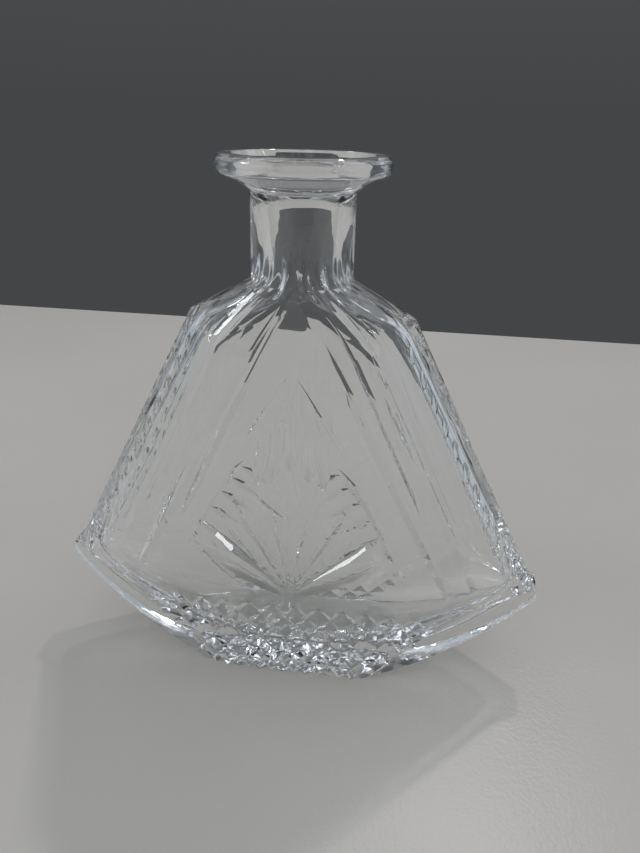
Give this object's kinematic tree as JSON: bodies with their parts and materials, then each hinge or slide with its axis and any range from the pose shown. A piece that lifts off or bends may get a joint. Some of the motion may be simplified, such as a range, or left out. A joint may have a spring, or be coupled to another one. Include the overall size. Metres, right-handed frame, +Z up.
{
  "type": "wine decanter",
  "caption": "Fan-shaped wine decanter in clear pressed glass: flared pouring lip, round neck, flat faceted body and curved base on a small flat foot.",
  "frame": {"origin": "centre of the flat foot's underside", "axes": "+Z up along the neck, +X across the wide fan, +Y through the thin side"},
  "size_m": [0.1932, 0.059, 0.198],
  "materials": {
    "lip_glass": "clear colourless glass, fire-polished smooth",
    "neck_glass": "clear colourless glass, thick-walled and smooth",
    "body_glass": "clear colourless pressed glass with crisp ridges and cut-style pattern",
    "base_glass": "clear colourless pressed glass, thick, with a band of small pyramids"
  },
  "bodies": {
    "root": {"pouring_lip": "lip_glass", "neck": "neck_glass", "body": "body_glass", "base": "base_glass"}
  },
  "joints": []
}
